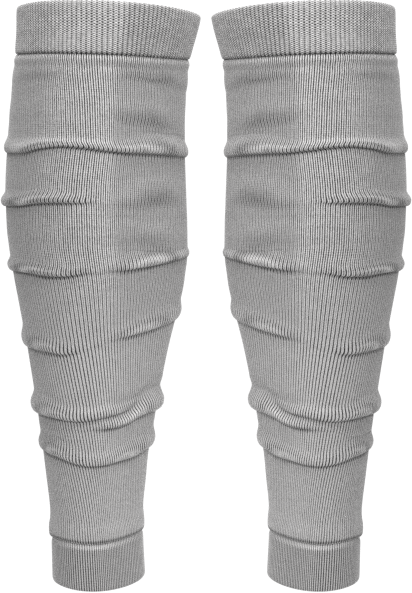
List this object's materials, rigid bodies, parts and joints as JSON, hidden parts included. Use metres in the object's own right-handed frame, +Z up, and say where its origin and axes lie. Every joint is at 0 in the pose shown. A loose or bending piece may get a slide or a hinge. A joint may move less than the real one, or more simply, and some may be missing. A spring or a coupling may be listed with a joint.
{
  "type": "pair of leg sleeves",
  "caption": "Pair of footless ribbed knit leg sleeves in mid grey, filled out as worn, open at both ends, with ribbed cuffs and bunched folds.",
  "frame": {"origin": "midway between the two sleeves, at the height where the top cuffs grip the legs, with y = 0 close to the middle of each tube's depth", "axes": "+Z up along the legs, -Y towards the front of the legs, +X towards the right of the picture"},
  "size_m": [0.2666, 0.1272, 0.3667],
  "materials": {
    "top_cuff": "matte mid grey double-welt rib knit",
    "body": "matte mid grey fine rib knit",
    "ankle_cuff": "matte mid grey rib knit"
  },
  "bodies": {
    "root": {"left_top_cuff": "top_cuff", "left_body": "body", "left_ankle_cuff": "ankle_cuff", "right_top_cuff": "top_cuff", "right_body": "body", "right_ankle_cuff": "ankle_cuff"}
  },
  "joints": []
}
